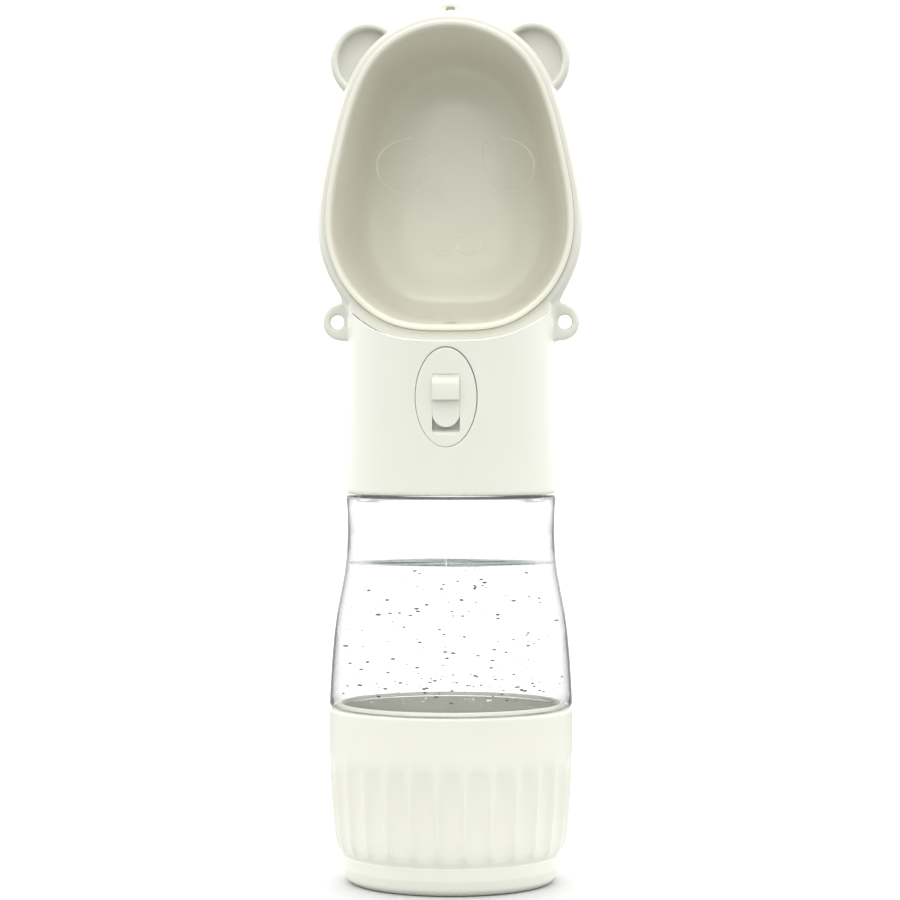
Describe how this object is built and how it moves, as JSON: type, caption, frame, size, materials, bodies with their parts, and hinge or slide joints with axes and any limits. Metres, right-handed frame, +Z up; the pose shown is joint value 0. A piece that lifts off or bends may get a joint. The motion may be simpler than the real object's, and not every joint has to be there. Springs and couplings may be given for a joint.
{
  "type": "dog travel water bottle",
  "caption": "Pet travel water bottle: a clear bottle with a food cup screwed on below and a head with a drinking bowl, push-button valve and sliding lock.",
  "frame": {"origin": "centre of the flat underside of the food cup", "axes": "+Z up along the bottle, the drinking bowl and the button face -Y, +X is on the right when seen from the front"},
  "size_m": [0.0762, 0.0704, 0.2545],
  "materials": {
    "cream_plastic": "satin",
    "inner_plastic": "matt",
    "clear_plastic": "polished clear",
    "silicone": "matt",
    "steel": "bright"
  },
  "bodies": {
    "cup": {"food_cup": "cream_plastic"},
    "cup_seal": {"cup_gasket": "silicone"},
    "bottle": {"water_bottle": "clear_plastic"},
    "neck_seal": {"neck_gasket": "silicone"},
    "head": {"head_shell": "cream_plastic", "bowl_liner": "cream_plastic", "inner_collar": "inner_plastic", "deck_seal": "silicone", "valve_body": "inner_plastic", "valve_gasket": "silicone", "valve_screw_1": "steel", "valve_screw_2": "steel", "valve_screw_3": "steel", "valve_screw_4": "steel", "stem_ring": "silicone", "return_spring": "steel", "valve_cap": "inner_plastic", "outlet_hose": "silicone", "outlet_nozzle": "inner_plastic", "button_bridge": "inner_plastic", "bridge_screw_1": "steel", "bridge_screw_2": "steel"},
    "button": {"push_button": "cream_plastic", "valve_stem": "inner_plastic", "poppet_seal": "silicone"},
    "lock": {"lock_slider": "cream_plastic", "lock_clip": "inner_plastic"}
  },
  "joints": [
    {"name": "cup_lift", "type": "slide", "parent": "cup", "child": "cup_seal", "axis": [0, 0, 1], "range_m": [0, 0.008]},
    {"name": "cup_unscrew", "type": "hinge", "parent": "cup_seal", "child": "bottle", "pos_m": [0, 0, 0], "axis": [0, 0, 1], "range_deg": [0, 720]},
    {"name": "head_lift", "type": "slide", "parent": "bottle", "child": "neck_seal", "axis": [0, 0, 1], "range_m": [0, 0.008]},
    {"name": "head_unscrew", "type": "hinge", "parent": "neck_seal", "child": "head", "pos_m": [0, 0, 0], "axis": [0, 0, 1], "range_deg": [0, 720]},
    {"name": "button_press", "type": "slide", "parent": "head", "child": "button", "axis": [0, 1, 0], "range_m": [0, 0.003], "stiffness_N_per_m": 400, "springref_m": -0.002, "deforming": ["return_spring"]},
    {"name": "lock_slide", "type": "slide", "parent": "button", "child": "lock", "axis": [0, 0, -1], "range_m": [0, 0.0018]}
  ],
  "couplings": [
    {"joint": "cup_lift", "follows": "cup_unscrew", "m_per_rad": 0.00063662},
    {"joint": "head_lift", "follows": "head_unscrew", "m_per_rad": 0.00063662}
  ]
}
